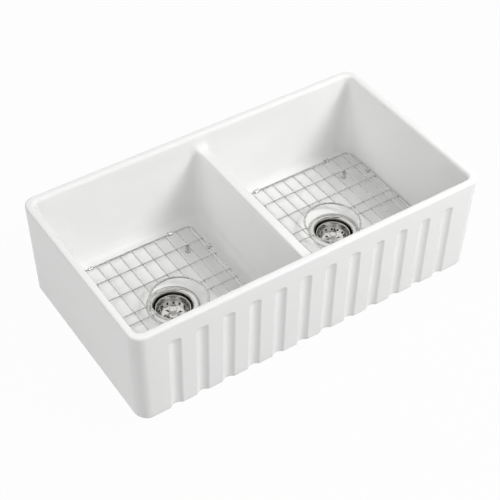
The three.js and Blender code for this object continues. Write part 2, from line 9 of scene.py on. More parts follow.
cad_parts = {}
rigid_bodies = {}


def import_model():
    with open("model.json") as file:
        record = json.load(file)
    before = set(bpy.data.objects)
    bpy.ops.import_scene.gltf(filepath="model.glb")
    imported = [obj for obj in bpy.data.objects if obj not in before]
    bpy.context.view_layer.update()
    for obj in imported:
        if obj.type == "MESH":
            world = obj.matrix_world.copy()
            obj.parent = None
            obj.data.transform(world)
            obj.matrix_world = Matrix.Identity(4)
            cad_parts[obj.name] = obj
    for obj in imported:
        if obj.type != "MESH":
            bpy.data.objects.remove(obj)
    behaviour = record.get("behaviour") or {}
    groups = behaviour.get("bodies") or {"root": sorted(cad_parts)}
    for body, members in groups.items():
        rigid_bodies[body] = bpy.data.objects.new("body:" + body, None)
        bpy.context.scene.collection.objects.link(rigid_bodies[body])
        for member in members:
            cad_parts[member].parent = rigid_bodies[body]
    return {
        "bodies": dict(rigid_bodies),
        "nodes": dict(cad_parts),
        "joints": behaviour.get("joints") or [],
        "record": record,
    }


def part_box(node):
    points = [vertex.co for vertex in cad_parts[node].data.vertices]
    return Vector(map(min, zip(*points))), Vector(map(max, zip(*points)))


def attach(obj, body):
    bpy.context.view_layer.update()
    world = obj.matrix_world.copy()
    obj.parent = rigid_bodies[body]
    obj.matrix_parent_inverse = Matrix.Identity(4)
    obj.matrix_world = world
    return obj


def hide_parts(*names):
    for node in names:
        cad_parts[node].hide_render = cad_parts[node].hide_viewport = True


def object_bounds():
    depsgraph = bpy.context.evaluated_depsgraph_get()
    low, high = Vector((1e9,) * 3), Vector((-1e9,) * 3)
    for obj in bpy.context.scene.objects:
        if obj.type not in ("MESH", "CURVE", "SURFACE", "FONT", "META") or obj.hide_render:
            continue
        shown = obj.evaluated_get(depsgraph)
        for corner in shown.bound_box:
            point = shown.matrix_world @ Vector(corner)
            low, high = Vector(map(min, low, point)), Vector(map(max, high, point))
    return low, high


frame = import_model()
cad_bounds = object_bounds()

# -------------------- camera
# The sink is seen from above its left front corner, with a long lens and a slight roll,
# in a square picture. Place and angles were fitted to the photographed outline.

PICTURE_WIDTH = 500
FOCAL_LENGTH = 1222.3  # in pixels of that picture
SENSOR_WIDTH = 36.0
CAMERA_PLACE = Vector((-1.0801, -1.5341, 1.9053))
CAMERA_AZIMUTH = math.radians(34.945)  # 0 looks along +Y, towards +X as it grows
CAMERA_ELEVATION = math.radians(44.466)
CAMERA_ROLL = math.radians(1.461)
CAMERA_REACH = 20  # metres


def aimed(place, azimuth, elevation, roll):
    """World matrix of a camera, which looks down its own -Z."""
    forward = Vector((
        math.sin(azimuth) * math.cos(elevation),
        math.cos(azimuth) * math.cos(elevation),
        -math.sin(elevation),
    ))
    level = forward.cross(Vector((0, 0, 1))).normalized()
    upright = level.cross(forward)
    right = level * math.cos(roll) + upright * math.sin(roll)
    up = upright * math.cos(roll) - level * math.sin(roll)
    turn = Matrix((right, up, -forward)).transposed().to_4x4()
    return Matrix.Translation(place) @ turn


def linked(name, data):
    """A new object in the scene, at the origin."""
    made = bpy.data.objects.new(name, data)
    bpy.context.scene.collection.objects.link(made)
    return made


camera_data = bpy.data.cameras.new("view_from_left_front")
camera_data.sensor_width = SENSOR_WIDTH
camera_data.lens = FOCAL_LENGTH / PICTURE_WIDTH * SENSOR_WIDTH
camera_data.clip_end = CAMERA_REACH
camera = linked("view_from_left_front", camera_data)
camera.matrix_world = aimed(CAMERA_PLACE, CAMERA_AZIMUTH, CAMERA_ELEVATION, CAMERA_ROLL)
bpy.context.scene.camera = camera

# -------------------- glazed sink body
# One fireclay casting, slip-cast in a plaster mould, then glazed white and fired. Its
# edges are all soft, the divider is lower than the rim, and flutes run down the apron.

MM = 0.001
shell_low, shell_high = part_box("sink_body")
LENGTH, DEPTH, HEIGHT = [size / MM for size in shell_high - shell_low]

SHELL_CORNER = 28  # plan radius outside
SIDE_LEAN = 4.5  # sides and back stand in this much at the base
RIM_OUTER_ROUND = 5
BASE_ROUND = 9
APRON_BASE_ROUND = 3.5
RIM_WIDTH = 18
RIM_SEAM = 7.5  # middle of the rim's top, measured in from the outer face
FLOOR_HEIGHT = 25
BOWL_CORNER = 15  # plan radius of the bowl's corners at the rim
BOWL_CORNER_LOW = 36  # and at the floor
BOWL_LEAN = 5
FLOOR_FILLET = 19
INNER_ROUND = 8
DIVIDER_ROUND = 4  # the divider's edges are sharper than the rim's
DIVIDER_DROP = 35
DIVIDER_HALF = 11
FLUTES_PER_SIDE = 6
FLUTE_PITCH = 60.3
FLUTE_WIDTH = 26
FLUTE_SINK = 6
FLUTE_TOP_GAP = 41
FLUTE_CROWN = 9
FLUTE_EDGE = 2.0  # how far the glaze rounds the edge of a flute
FLUTE_HEAD_STEP = 0.75  # closer rows of the mesh where the flutes begin
FLUTE_HEAD_ROWS = 20
DRAIN_DISH = 75
DRAIN_FALL = 1.5
SEAT_RADIUS = 57
SEAT_DEPTH = 2.5
DRAIN_BORE = 45
SPOT_FACE_RADIUS = 64
SPOT_FACE_DEPTH = 6
EDGE_BREAK = 0.6  # bevel on the steps of the drain
EDGE_STEPS = 8
CORNER_STEPS = 12
SIDE_STEPS = 26
DIVIDER_STEPS = 34
WALL_STEPS = 14
FILLET_STEPS = 12

DIVIDER_TOP = HEIGHT - DIVIDER_DROP
BOWL_SLOPE = BOWL_LEAN / (HEIGHT - FLOOR_HEIGHT)


def measured(node):
    """Middle in plan, half width, half depth, foot and top of a node's box, in millimetres."""
    low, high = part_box(node)
    middle = ((low.x + high.x) / 2 / MM, (low.y + high.y) / 2 / MM, 0)
    return middle, (high.x - low.x) / 2 / MM, (high.y - low.y) / 2 / MM, low.z / MM, high.z / MM


DRAIN = measured("right_strainer_body")[0]


def quarter(steps):
    """Angles of a quarter turn, from 0 to 90 degrees."""
    return [math.pi / 2 * k / steps for k in range(steps + 1)]


def shares(steps):
    """Even shares from 0 to 1."""
    return [k / steps for k in range(steps + 1)]


def blend(a, b, share):
    return a + (b - a) * share


def held(value):
    """A value held between 0 and 1."""
    return min(1, max(0, value))


def turned_point(centre, radius, angle, z):
    """The point at an angle and a radius round an upright axis."""
    return centre[0] + radius * math.cos(angle), centre[1] + radius * math.sin(angle), z


def bowl_half_depth(z):
    return DEPTH / 2 - RIM_WIDTH - BOWL_SLOPE * (HEIGHT - z)


def bowl_outer_wall(z):
    return LENGTH / 2 - RIM_WIDTH - BOWL_SLOPE * (HEIGHT - z)


def bowl_inner_wall(z):
    return DIVIDER_HALF + BOWL_SLOPE * (DIVIDER_TOP - z)


def bowl_corner(z):
    """Plan radius of the bowl's corners, which widen towards the floor."""
    return blend(BOWL_CORNER_LOW, BOWL_CORNER, (z - FLOOR_HEIGHT) / (HEIGHT - FLOOR_HEIGHT))


DIVIDER_FILLET = bowl_corner(DIVIDER_TOP)


# Mesh columns from the middle of the apron to its corner, closest at the flutes' edges. One
# column stands where the bowl's corner at the divider runs into the front wall.
STRAIGHT_END = LENGTH / 2 - SHELL_CORNER
REACH = bowl_inner_wall(HEIGHT) + BOWL_CORNER
NEAR_FLUTE = (0, 4, 7.5, 10, 11.5, 12.5, 13.3, 14.2, 15.5, 18, 23)
COLUMNS = sorted({round(x, 4) for x in (
    [REACH] + [k * FLUTE_PITCH for k in range(FLUTES_PER_SIDE + 1)]
    + [(k + 0.5) * FLUTE_PITCH + sign * x
       for k in range(FLUTES_PER_SIDE) for x in NEAR_FLUTE for sign in (-1, 1)])})
CROSSING = [x / REACH for x in COLUMNS if x <= round(REACH, 4)]


def flute_depth(x, z):
    """How far the apron is sunk at a place, with the edge of each flute rounded over."""
    half = FLUTE_WIDTH / 2
    radius = (half * half + FLUTE_SINK * FLUTE_SINK) / (2 * FLUTE_SINK)
    offset = x % FLUTE_PITCH - FLUTE_PITCH / 2
    crown = HEIGHT - FLUTE_TOP_GAP
    climb = held(1 - (crown - z) / FLUTE_CROWN)
    if x > FLUTES_PER_SIDE * FLUTE_PITCH or z > crown:
        return 0
    bar = radius * math.sqrt(1 - climb * climb)
    depth = FLUTE_SINK - radius + math.sqrt(max(0, bar * bar - offset * offset))
    mix = held(0.5 + 0.5 * depth / FLUTE_EDGE)
    return depth * mix + FLUTE_EDGE * mix * (1 - mix)


def outer_outline(z, side_inset, front_inset):
    """Right half of the outline at a height, from the middle of the apron round to the back."""
    lean = SIDE_LEAN * (1 - z / HEIGHT)
    side = LENGTH / 2 - lean - side_inset
    front = -DEPTH / 2 + front_inset
    back = DEPTH / 2 - lean - side_inset
    radius = SHELL_CORNER - side_inset
    front_radius = radius + side_inset - front_inset
    points = [(x, front + flute_depth(x, z), z) for x in COLUMNS]
    for angle in quarter(CORNER_STEPS):
        points.append((side - radius + radius * math.sin(angle),
                       front + front_radius - front_radius * math.cos(angle), z))
    for share in shares(SIDE_STEPS)[1:-1]:
        points.append((side, blend(front + front_radius, back - radius, share), z))
    for angle in quarter(CORNER_STEPS):
        points.append((side - radius + radius * math.cos(angle),
                       back - radius + radius * math.sin(angle), z))
    return points + [(x, back, z) for x in COLUMNS[::-1]]


def saddle_profile():
    """Distance from the middle and height, from the divider's level top up to the rim's flat."""
    wall = bowl_half_depth(DIVIDER_TOP + DIVIDER_FILLET)
    points = [(wall - DIVIDER_FILLET * (1 - math.sin(t)), DIVIDER_TOP + DIVIDER_FILLET * (1 - math.cos(t)))
              for t in quarter(2 * EDGE_STEPS)]
    for t in quarter(EDGE_STEPS)[1:]:
        z = HEIGHT - INNER_ROUND * (1 - math.sin(t))
        points.append((bowl_half_depth(z) + INNER_ROUND * (1 - math.cos(t)), z))
    return points


SADDLE = np.array(saddle_profile())


def saddle_height(y):
    return float(np.interp(abs(y), SADDLE[:, 0], SADDLE[:, 1]))


def bowl_stations():
    """Places round the right bowl: which stretch of the outline, and how far along it."""
    straight = [(x - REACH) / (STRAIGHT_END - REACH) for x in COLUMNS if x >= round(REACH, 4)]
    corner = quarter(CORNER_STEPS)
    lip_radius = BOWL_CORNER + INNER_ROUND
    climb = (SADDLE[:, 0] - bowl_half_depth(HEIGHT) + BOWL_CORNER) / lip_radius
    at_divider = [math.asin(x) for x in np.clip(climb, 0, 1)]
    return (
        [("front", share) for share in straight]
        + [("front_outer", angle) for angle in corner]
        + [("side", share) for share in shares(SIDE_STEPS)[1:-1]]
        + [("back_outer", angle) for angle in corner]
        + [("back", share) for share in straight[::-1]]
        + [("back_inner", angle) for angle in at_divider[-2::-1]]
        + [("divider", share) for share in shares(DIVIDER_STEPS)[1:-1]]
        + [("front_inner", angle) for angle in at_divider[:-1]]
    )


STATIONS = bowl_stations()
RIM_STATIONS = sum(part in ("front", "front_outer", "side", "back_outer", "back") for part, _ in STATIONS)


def bowl_point(part, at, z, inset):
    """One point of the bowl's outline at a height and an inset."""
    outer, inner = bowl_outer_wall(z) - inset, bowl_inner_wall(z) + inset
    half, radius = bowl_half_depth(z) - inset, bowl_corner(z) - inset
    along, across = radius * (1 - math.sin(at)), radius * (1 - math.cos(at))
    return {
        "front": (blend(inner + radius, outer - radius, at), -half, z),
        "front_outer": (outer - along, -half + across, z),
        "side": (outer, blend(-half + radius, half - radius, at), z),
        "back_outer": (outer - across, half - along, z),
        "back": (blend(inner + radius, outer - radius, at), half, z),
        "back_inner": (inner + across, half - along, z),
        "divider": (inner, blend(half - radius, -half + radius, at), z),
        "front_inner": (inner + across, -half + along, z),
    }[part]


def lip_round(part, at):
    """Radius of the rounding below the lip, which sharpens from the rim to the divider."""
    if part in ("back_inner", "front_inner"):
        return blend(DIVIDER_ROUND, INNER_ROUND, math.sin(at))
    return DIVIDER_ROUND if part == "divider" else INNER_ROUND


def shell_distance(points):
    """Signed distance to walls and divider round the divider's ends, joined by soft fillets."""
    x, y, z = np.abs(points[:, 0]), np.abs(points[:, 1]), points[:, 2]

    def rounded_edge(face, top, radius):
        reach = np.hypot(np.maximum(face + radius, 0), np.maximum(top + radius, 0))
        return np.minimum(np.maximum(face, top) + radius, 0) + reach - radius

    wall = rounded_edge(bowl_half_depth(z) - y, z - HEIGHT, INNER_ROUND)
    divider = rounded_edge(x - bowl_inner_wall(z), z - DIVIDER_TOP, DIVIDER_ROUND)
    fillet = bowl_corner(z)
    near = np.hypot(np.maximum(fillet - wall, 0), np.maximum(fillet - divider, 0))
    return np.maximum(np.minimum(wall, divider), fillet) - near


def settled_on_shell(points):
    """Moves points along the gradient until they lie on the filleted surface."""
    step = 0.01
    for _ in range(8):
        here = shell_distance(points)
        gradient = np.stack([(shell_distance(points + step * axis) - here) / step for axis in np.eye(3)], 1)
        steepness = np.maximum((gradient ** 2).sum(1), 0.05)
        points = points - gradient * (here / steepness)[:, None]
    return points


def add_patch(points, faces, rows, closed=False):
    """Skins rows of equal length with quads."""
    start, width = len(points), len(rows[0])
    for row in rows:
        points.extend(row)
    for i in range(len(rows) - 1):
        for j in range(width if closed else width - 1):
            a = start + i * width + j
            b = start + i * width + (j + 1) % width
            faces.append((a, b, b + width, a + width))


def rounding(steps):
    """Shares inwards and upwards to go round an edge, from its level end to its upright one."""
    return [(1 - math.cos(t), 1 - math.sin(t)) for t in quarter(steps)[::-1]]


def outside_rows():
    """From the middle of the rim's top over its outer edge and down the outside to the base."""
    rows = [[(x, y, HEIGHT) for x, y, _ in outer_outline(HEIGHT, RIM_SEAM, RIM_SEAM)]]
    for inward, upward in rounding(EDGE_STEPS):
        inset = RIM_OUTER_ROUND * inward
        rows.append(outer_outline(HEIGHT - RIM_OUTER_ROUND * upward, inset, inset))
    crown = HEIGHT - FLUTE_TOP_GAP
    levels = [blend(HEIGHT - RIM_OUTER_ROUND, crown + 1, share) for share in shares(4)[1:]]
    levels += [crown - FLUTE_HEAD_STEP * k for k in range(FLUTE_HEAD_ROWS)]
    levels += [blend(levels[-1], BASE_ROUND, share) for share in shares(8)[1:-1]]
    rows += [outer_outline(z, 0, 0) for z in levels]
    for upward, inward in rounding(EDGE_STEPS):
        rows.append(outer_outline(BASE_ROUND * upward, BASE_ROUND * inward, APRON_BASE_ROUND * inward))
    return rows


def bowl_rows():
    """From the bowl's lip down its wall, over the floor and through the drain to the underside."""
    rounds = [lip_round(*station) for station in STATIONS]
    lip = [bowl_point(*station, HEIGHT, -radius) for station, radius in zip(STATIONS, rounds)]
    heights = [saddle_height(y) if x < LENGTH / 4 else HEIGHT for x, y, _ in lip]
    edge = list(zip(STATIONS, heights, rounds))
    rows = []
    for inward, upward in rounding(EDGE_STEPS):
        rows.append([bowl_point(*station, top - radius * upward, -radius * inward)
                     for station, top, radius in edge])
    rows[0] = [(x, y, top) for (x, y, _), top in zip(lip, heights)]
    foot = FLOOR_HEIGHT + FLOOR_FILLET
    for share in shares(WALL_STEPS)[1:]:
        rows.append([bowl_point(*station, blend(top - radius, foot, share), 0)
                     for station, top, radius in edge])
    for upward, inward in rounding(FILLET_STEPS)[1:]:
        rows.append([bowl_point(*station, FLOOR_HEIGHT + FLOOR_FILLET * upward, FLOOR_FILLET * inward)
                     for station in STATIONS])
    floor_edge = rows[-1]
    around = [math.atan2(y - DRAIN[1], x - DRAIN[0]) for x, y, _ in floor_edge]

    def circle(radius, z):
        return [turned_point(DRAIN, radius, angle, z) for angle in around]

    dish = circle(DRAIN_DISH, FLOOR_HEIGHT)
    for share in (0.03, 0.1, 0.3, 0.55, 0.8, 0.95):
        rows.append([tuple(blend(a, b, share) for a, b in zip(p, q)) for p, q in zip(floor_edge, dish)])
    low = FLOOR_HEIGHT - DRAIN_FALL
    for share in shares(8):
        rows.append(circle(blend(DRAIN_DISH, SEAT_RADIUS + 0.8, share),
                           blend(FLOOR_HEIGHT, low, (1 - math.cos(math.pi * share)) / 2)))
    seat = low - SEAT_DEPTH
    for radius, z in (
        (SEAT_RADIUS + 0.2, low - 0.25), (SEAT_RADIUS, low - 0.8), (SEAT_RADIUS, seat + 0.3),
        (SEAT_RADIUS - 0.3, seat), (DRAIN_BORE + EDGE_BREAK, seat), (DRAIN_BORE, seat - EDGE_BREAK),
        (DRAIN_BORE, SPOT_FACE_DEPTH + EDGE_BREAK), (DRAIN_BORE + EDGE_BREAK, SPOT_FACE_DEPTH),
        (SPOT_FACE_RADIUS - EDGE_BREAK, SPOT_FACE_DEPTH), (SPOT_FACE_RADIUS, SPOT_FACE_DEPTH - EDGE_BREAK),
        (SPOT_FACE_RADIUS, EDGE_BREAK), (SPOT_FACE_RADIUS + EDGE_BREAK, 0), (SPOT_FACE_RADIUS + 2, 0),
    ):
        rows.append(circle(radius, z))
    return rows


def shell_half():
    """Points and quads of the right half of the sink, open along x = 0 and underneath."""
    points, faces = [], []
    outside, inside = outside_rows(), bowl_rows()
    add_patch(points, faces, outside)
    add_patch(points, faces, inside, closed=True)
    lip = inside[0]
    crossings = [[(x * share, y, z) for share in CROSSING] for x, y, z in lip[RIM_STATIONS - 1:] + [lip[0]]]
    add_patch(points, faces, crossings)
    rim = crossings[-1][:-1] + lip[:RIM_STATIONS] + crossings[0][-2::-1]
    add_patch(points, faces, [outside[0], rim])
    # only what lies by the divider's ends, clear of lip and floor, is moved into the fillets
    points = np.array(points, float)
    away = np.abs(points[:, 1])
    ends = ((points[:, 0] < bowl_inner_wall(0) + BOWL_CORNER_LOW + 2)
            & (away > bowl_half_depth(0) - BOWL_CORNER_LOW - 4)
            & (away < bowl_half_depth(HEIGHT) + INNER_ROUND - 0.01)
            & (points[:, 2] > FLOOR_HEIGHT + FLOOR_FILLET + 8))
    points[ends] = settled_on_shell(points[ends])
    points[np.abs(points[:, 0]) < 0.001, 0] = 0
    return points, faces


MERGE = 0.00001  # metres, within which doubled points become one


def new_piece(name, points, faces):
    """A mesh object at the origin, from millimetres."""
    mesh = bpy.data.meshes.new(name)
    mesh.from_pydata([tuple(MM * value for value in point) for point in points], [], faces)
    return linked(name, mesh)


def tidied(piece, merge=MERGE, filled=False):
    """Merges doubled points, turns every face outwards and shades the piece smooth."""
    work = bmesh.new()
    work.from_mesh(piece.data)
    bmesh.ops.remove_doubles(work, verts=work.verts, dist=merge)
    bmesh.ops.dissolve_degenerate(work, edges=work.edges, dist=merge / 10)
    if filled:
        rims = [edge for edge in work.edges if edge.is_boundary]
        bmesh.ops.triangle_fill(work, edges=rims, use_beauty=True)
    bmesh.ops.recalc_face_normals(work, faces=work.faces)
    for face in work.faces:
        face.smooth = True
    work.to_mesh(piece.data)
    work.free()
    return piece


def sink_shell():
    half, faces = shell_half()
    mirrored = half * np.array([-1, 1, 1])
    faces = faces + [tuple(len(half) + k for k in face[::-1]) for face in faces]
    return tidied(new_piece("sink_shell", np.concatenate([half, mirrored]), faces), filled=True)


class Line:
    """A socket of a node tree. Sums and products on it add Math nodes."""

    def __init__(self, tree, socket=None):
        self.tree = tree
        self.socket = socket

    def node(self, kind, inputs=None, output=0, **settings):
        """Adds a node: its settings first, then the values or links of its sockets."""
        made = self.tree.nodes.new(kind)
        for name, value in settings.items():
            setattr(made, name, value)
        for name, value in (inputs or {}).items():
            if isinstance(value, Line):
                self.tree.links.new(value.socket, made.inputs[name])
            else:
                made.inputs[name].default_value = value
        return Line(self.tree, made.outputs[output]) if made.outputs else None

    def beside(self, output):
        """Another output of the node that this one comes from."""
        return Line(self.tree, self.socket.node.outputs[output])

    def maths(self, operation, *terms):
        return self.node("ShaderNodeMath", dict(enumerate(terms)), operation=operation)

    def __add__(self, other):
        return self.maths("ADD", self, other)

    __radd__ = __add__

    def __sub__(self, other):
        return self.maths("SUBTRACT", self, other)

    def __rsub__(self, other):
        return self.maths("SUBTRACT", other, self)

    def __mul__(self, other):
        return self.maths("MULTIPLY", self, other)

    __rmul__ = __mul__

    def __truediv__(self, other):
        return self.maths("DIVIDE", self, other)

    def clamped(self):
        return self.maths("MAXIMUM", self.maths("MINIMUM", self, 1), 0)


def emptied(owner):
    """Empties the tree of a material or a world, and starts a line in it."""
    owner.use_nodes = True
    owner.node_tree.nodes.clear()
    return Line(owner.node_tree)


def new_material(name):
    material = bpy.data.materials.new(name)
    return material, emptied(material)


def coated(material, line, inputs):
    """Ends a material's tree with one Principled shader."""
    coat = line.node("ShaderNodeBsdfPrincipled", inputs)
    line.node("ShaderNodeOutputMaterial", {"Surface": coat})
    return material


def place_of(line):
    return line.node("ShaderNodeTexCoord", output=3)


def noise(line, scale, detail, roughness=0.5, at=None):
    """Even cloudy noise from 0 to 1 over the piece."""
    return line.node("ShaderNodeTexNoise", {"Vector": at or place_of(line), "Scale": scale,
                                            "Detail": detail, "Roughness": roughness})


def mixed_colour(line, share, first, second):
    return line.node("ShaderNodeMix", {0: share, 6: first, 7: second}, 2, data_type="RGBA")


def bumped(line, height, distance, strength):
    return line.node("ShaderNodeBump", {"Height": height, "Distance": distance, "Strength": strength})


def glaze_material():
    material, line = new_material("white_glaze")
    cloud = noise(line, 5, 3)
    pores = noise(line, 900, 1)
    orange_peel = noise(line, 55, 2)
    pooling = noise(line, 14, 1)
    colour = mixed_colour(line, cloud, (0.925, 0.930, 0.926, 1), (0.945, 0.942, 0.930, 1))
    pin = ((pores - 0.72) * 9).clamped()
    return coated(material, line, {
        "Base Color": mixed_colour(line, pin * 0.12, colour, (0.62, 0.60, 0.56, 1)),
        "Roughness": 0.075 + 0.05 * cloud,
        "IOR": 1.52,
        "Normal": bumped(line, orange_peel * 0.35 + pooling, 0.0006, 0.22),
    })


def dressed(piece, material, body, node):
    """Gives a finished piece its material and ties it to the frame."""
    piece.data.materials.clear()
    piece.data.materials.append(material)
    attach(piece, body)
    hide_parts(node)


dressed(sink_shell(), glaze_material(), "sink", "sink_body")

# -------------------- strainer bodies
# Each drain holds a drawn stainless body: polished flange, deep throat, seat cone and
# threaded tail. It drops in from above, and a nut on its thread clamps it to the floor.

FLANGE_RADIUS = 56
FLANGE_CROWN = 2.2
THROAT_RADIUS = 41.5
BODY_RADIUS = 43.5
BODY_DROP = 39
TAIL_RADIUS = 23.5
TAIL_BORE_RADIUS = 19.5
TAIL_END = -BODY_DROP - 26
SEAT_CONE_RADIUS = 30
THREAD_PITCH = 3
THREAD_DEPTH = 1.1
THREAD_STEP = 0.5  # rows of the mesh along a thread
THREAD_FADE = 2  # length over which it runs out
TURNED_SIDES = 128
ARC_POINTS = 5  # on each rounded corner of a profile
BAR_WIDTH = 4
BAR_DEPTH = 2.5
BAR_BEVEL = 0.6
EYE_RADIUS = 6.2
EYE_WALL = 2.4
EYE_RISE = 0.8
EYE_DEPTH = 4
SLIP = 0.2  # gap between the pieces of a basket set, and to the seat
BASKET_FLOOR = -29
BASKET_SHEET = 1.1
STOPPER_THICKNESS = 4
STOPPER_SOLE_RADIUS = 24.1
STOPPER_FOOT = BASKET_FLOOR - BASKET_SHEET - SLIP - STOPPER_THICKNESS
SEAT_LEDGE = STOPPER_FOOT + SEAT_CONE_RADIUS - STOPPER_SOLE_RADIUS - SLIP * math.sqrt(2)
SEAT_FOOT = SEAT_LEDGE - (SEAT_CONE_RADIUS - TAIL_BORE_RADIUS)


def drain_centre(side):
    """Axis of a drain and the height of its flange's underside, in millimetres."""
    low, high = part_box(f"{side}_strainer_body")
    middle = (low + high) / 2 / MM
    return middle.x, middle.y, high.z / MM - FLANGE_CROWN


def softened(profile, radius):
    """Rounds the corners of a closed profile of (radius, height) pairs by small arcs."""
    points = []
    for k, here in enumerate(profile):
        corner = Vector(here)
        sides = [Vector(profile[(k + step) % len(profile)]) - corner for step in (-1, 1)]
        start, end = [corner + side.normalized() * min(radius, side.length * 0.45) for side in sides]
        for share in shares(ARC_POINTS - 1):
            mid = blend(blend(start, corner, share), blend(corner, end, share), share)
            points.append((mid.x, mid.y))
    return points


def softened_inside(profile, radius):
    """The same for an open profile, whose two ends are left off."""
    return softened(profile, radius)[ARC_POINTS:-ARC_POINTS]


def full_turn(steps):
    return [2 * math.pi * k / steps for k in range(steps)]


def ring_rows(profile, centre, sides=TURNED_SIDES):
    """Rings of points where a profile is turned about the upright axis through a centre."""
    return [[turned_point(centre, radius, angle, centre[2] + z) for angle in full_turn(sides)]
            for radius, z in profile]


def thread_rows(levels, foot, head, centre, crest):
    """Rings at some levels with a helical thread between foot and head, fading at both ends."""
    rows = []
    for level in levels:
        run = held((level - foot) / THREAD_FADE) * held((head - level) / THREAD_FADE)
        row = []
        for angle in full_turn(TURNED_SIDES):
            wave = abs(2 * ((level / THREAD_PITCH - angle / (2 * math.pi)) % 1 - 0.5))
            cut = THREAD_DEPTH * run * held(1.35 * wave - 0.15)
            row.append(turned_point(centre, crest - cut, angle, centre[2] + level))
        rows.append(row)
    return rows


def add_rolled(points, faces, rows):
    """Skins rings of points, the last of them joined to the first."""
    add_patch(points, faces, rows + rows[:1], closed=True)


def rolled(name, rows, merge=MERGE):
    points, faces = [], []
    add_rolled(points, faces, rows)
    return tidied(new_piece(name, points, faces), merge)


def strainer_body(side):
    centre = drain_centre(side)
    points, faces = [], []
    upper = softened_inside([
        (BODY_RADIUS, -0.8), (FLANGE_RADIUS, 0), (FLANGE_RADIUS, 0.8), (FLANGE_RADIUS - 4, FLANGE_CROWN),
        (THROAT_RADIUS + 3.2, FLANGE_CROWN), (THROAT_RADIUS, -2), (THROAT_RADIUS - 1, SEAT_LEDGE + 8),
        (THROAT_RADIUS - 4, SEAT_LEDGE + 2), (THROAT_RADIUS - 7, SEAT_LEDGE), (SEAT_CONE_RADIUS, SEAT_LEDGE),
        (TAIL_BORE_RADIUS, SEAT_FOOT), (TAIL_BORE_RADIUS, TAIL_END), (TAIL_RADIUS, TAIL_END),
    ], 1.6)
    neck = softened_inside([
        (BODY_RADIUS, -BODY_DROP + 8), (BODY_RADIUS, -BODY_DROP + 5), (BODY_RADIUS - 8, -BODY_DROP - 2),
        (TAIL_RADIUS, SEAT_FOOT - 4), (TAIL_RADIUS, SEAT_FOOT - 6),
    ], 1.6)[::-1]
    lining = [(BODY_RADIUS, 0)] + upper + [(TAIL_BORE_RADIUS, TAIL_END), (TAIL_RADIUS, TAIL_END)]
    body_levels = [-1 - THREAD_STEP * k for k in range(int((BODY_DROP - 6) / THREAD_STEP))]
    tail_levels = [SEAT_FOOT - 5 - THREAD_STEP * k
                   for k in range(int((SEAT_FOOT - 5.5 - TAIL_END) / THREAD_STEP))]
    add_rolled(points, faces, (
        ring_rows(lining, centre)
        + thread_rows(tail_levels[::-1], TAIL_END + 1, SEAT_FOOT - 7, centre, TAIL_RADIUS)
        + ring_rows(neck, centre)
        + thread_rows(body_levels[::-1], -BODY_DROP + 6, -3, centre, BODY_RADIUS)))

    # cross bars and the eye that the basket's peg drops into
    section = [(-1, -BAR_BEVEL), (-0.8, 0), (0.8, 0), (1, -BAR_BEVEL), (1, -BAR_DEPTH + BAR_BEVEL),
               (0.7, -BAR_DEPTH), (-0.7, -BAR_DEPTH), (-1, -BAR_DEPTH + BAR_BEVEL)]
    for angle in full_turn(4):
        along = Vector((math.cos(angle), math.sin(angle), 0))
        across = Vector((-math.sin(angle), math.cos(angle), 0)) * BAR_WIDTH / 2
        rows = []
        for reach in (EYE_RADIUS + 1, TAIL_BORE_RADIUS - 1.5, TAIL_BORE_RADIUS - 0.5, TAIL_BORE_RADIUS + 1):
            flare = 1 + 0.35 * max(0, (reach - TAIL_BORE_RADIUS + 1.5) / 2.5)
            rows.append([tuple(Vector(centre) + along * reach + across * u * flare
                               + Vector((0, 0, SEAT_FOOT + w))) for u, w in section])
        start = len(points)
        add_patch(points, faces, rows, closed=True)
        faces.append(tuple(range(start, start + len(section))))
        faces.append(tuple(range(len(points) - len(section), len(points)))[::-1])
    eye_top = SEAT_FOOT + EYE_RISE
    eye_foot = eye_top - EYE_DEPTH
    eye = softened([(EYE_RADIUS, eye_top), (EYE_RADIUS, eye_foot), (EYE_RADIUS + EYE_WALL, eye_foot),
                    (EYE_RADIUS + EYE_WALL, eye_top)], 0.5)
    add_rolled(points, faces, ring_rows(eye, centre, 48))
    return tidied(new_piece(f"{side}_strainer_cup", points, faces))


def polished_steel(name, centre, painted_shade=0.0):
    """Mirror-polished stainless with the fine rings that spinning leaves.

    The painted shade darkens and browns the inside of the cup, standing in for the shade in its deep throat.
    """
    material, line = new_material(name)
    shifted = line.node("ShaderNodeMapping", {
        "Vector": place_of(line), "Location": (-centre[0] * MM, -centre[1] * MM, 0)}, vector_type="POINT")
    x = line.node("ShaderNodeSeparateXYZ", {0: shifted})
    y, height = x.beside(1), x.beside(2)
    radius = line.maths("SQRT", x * x + y * y)
    turns = line.node("ShaderNodeCombineXYZ", {0: radius * 900})
    lathe = noise(line, 1, 3, 0.6, turns)
    smear = noise(line, 70, 3)
    colour = mixed_colour(line, smear, (0.62, 0.615, 0.60, 1), (0.76, 0.755, 0.74, 1))
    # painted shade: below the flange and inside the body's radius the colour is mixed towards dark brown, for
    # the shade in the throat
    depth = ((centre[2] - 0.5) * MM - height) / 0.003
    inside = ((BODY_RADIUS - 1) * MM - radius) / 0.0008
    return coated(material, line, {
        "Base Color": mixed_colour(line, depth.clamped() * inside.clamped() * painted_shade, colour,
                                   (0.13, 0.112, 0.085, 1)),
        "Metallic": 1.0,
        "Roughness": 0.06 + 0.08 * smear + 0.05 * lathe,
        "Normal": bumped(line, lathe, 0.00005, 0.35),
    })


SIDES = ("left", "right")
steel = {side: polished_steel(f"spun_steel_{side}", drain_centre(side)) for side in SIDES}
# the cups' steel carries painted shade in the throat
cup_steel = {side: polished_steel(f"drawn_cup_{side}", drain_centre(side), painted_shade=0.9) for side in SIDES}
for side in SIDES:
    dressed(strainer_body(side), cup_steel[side], "sink", f"{side}_strainer_body")

# -------------------- seals under and over the floor
# Putty beds the flange in its seat. A rubber gasket and a fibre friction washer lie
# between the floor's underside and the nut, and all three are squeezed as it is turned up.

BODY_BORE = BODY_RADIUS + 0.3  # of all that slips over the body


